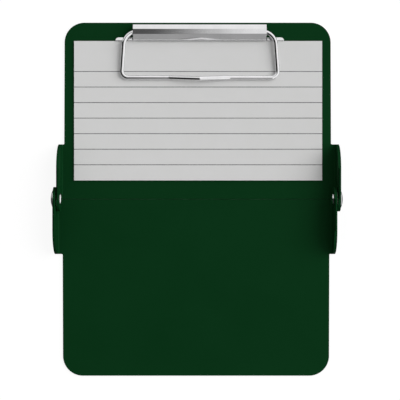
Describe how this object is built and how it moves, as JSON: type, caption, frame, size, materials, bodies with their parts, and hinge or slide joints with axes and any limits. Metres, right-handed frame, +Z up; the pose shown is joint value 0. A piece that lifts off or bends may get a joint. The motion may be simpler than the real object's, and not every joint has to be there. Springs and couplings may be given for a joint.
{
  "type": "folding clipboard",
  "caption": "Pocket clipboard that folds across its middle on riveted side ears, with a low sprung wire clip holding ruled cards.",
  "frame": {"origin": "on the table under the middle of the seam between the two opened panels", "axes": "+Y runs from the seam towards the clip, +X to the right, +Z up from the table"},
  "size_m": [0.148, 0.181, 0.0141],
  "materials": {
    "green_coat": "satin",
    "clip_chrome": "polished",
    "wire_chrome": "polished",
    "rivet_chrome": "polished",
    "spring_steel": "satin",
    "washer_nylon": "matte",
    "card": "matte"
  },
  "bodies": {
    "upper_board": {"upper_panel": "green_coat", "hinge_rivet_left": "rivet_chrome", "hinge_rivet_right": "rivet_chrome", "hinge_washer_left": "washer_nylon", "hinge_washer_right": "washer_nylon", "clip_base": "clip_chrome", "clip_cover": "clip_chrome", "bail_spring_left": "spring_steel", "bail_spring_right": "spring_steel", "cover_rivet_left": "rivet_chrome", "cover_rivet_right": "rivet_chrome", "stop_rivet_left": "rivet_chrome", "stop_rivet_right": "rivet_chrome", "card_stack": "card", "top_card": "card"},
    "lower_board": {"lower_panel": "green_coat"},
    "bail": {"wire_bail": "wire_chrome"}
  },
  "joints": [
    {"name": "fold", "type": "hinge", "parent": "upper_board", "child": "lower_board", "pos_m": [0, 0, 0.00785], "axis": [-1, 0, 0], "range_deg": [0, 180]},
    {"name": "bail_lift", "type": "hinge", "parent": "upper_board", "child": "bail", "pos_m": [0.0015, 0.0855, 0.0048], "axis": [-1, 0, 0], "range_deg": [0, 150], "stiffness_Nm_per_rad": 0.07, "springref_deg": -68.75, "deforming": ["bail_spring_left", "bail_spring_right"]}
  ]
}
